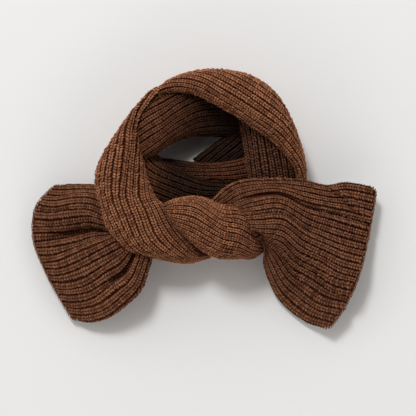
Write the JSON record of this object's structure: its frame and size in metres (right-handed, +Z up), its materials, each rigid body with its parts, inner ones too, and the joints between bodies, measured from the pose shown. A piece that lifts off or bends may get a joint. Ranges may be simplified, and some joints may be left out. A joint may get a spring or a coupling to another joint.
{
  "type": "knit scarf",
  "caption": "Ribbed knit scarf with one end pulled through a slot, laid flat so that it forms a bunched loop with two spread ends.",
  "frame": {"origin": "on the surface that the scarf lies on, under the middle of its bounding box", "axes": "+X towards the end that lies on top, along the longest extent; +Y from the crossing of the ends towards the back of the loop; +Z up, out of the surface"},
  "size_m": [0.4142, 0.3123, 0.0663],
  "materials": {
    "wool": "thick ribbed knit in warm mid brown, soft and fuzzy, no shine"
  },
  "bodies": {
    "root": {"right_tail": "wool", "front_wrap": "wool", "loop_left": "wool", "loop_top": "wool", "loop_inner_left": "wool", "loop_inner_right": "wool", "loop_inner_front": "wool", "slot_band": "wool", "slot_edge": "wool", "left_tail": "wool"}
  },
  "joints": []
}
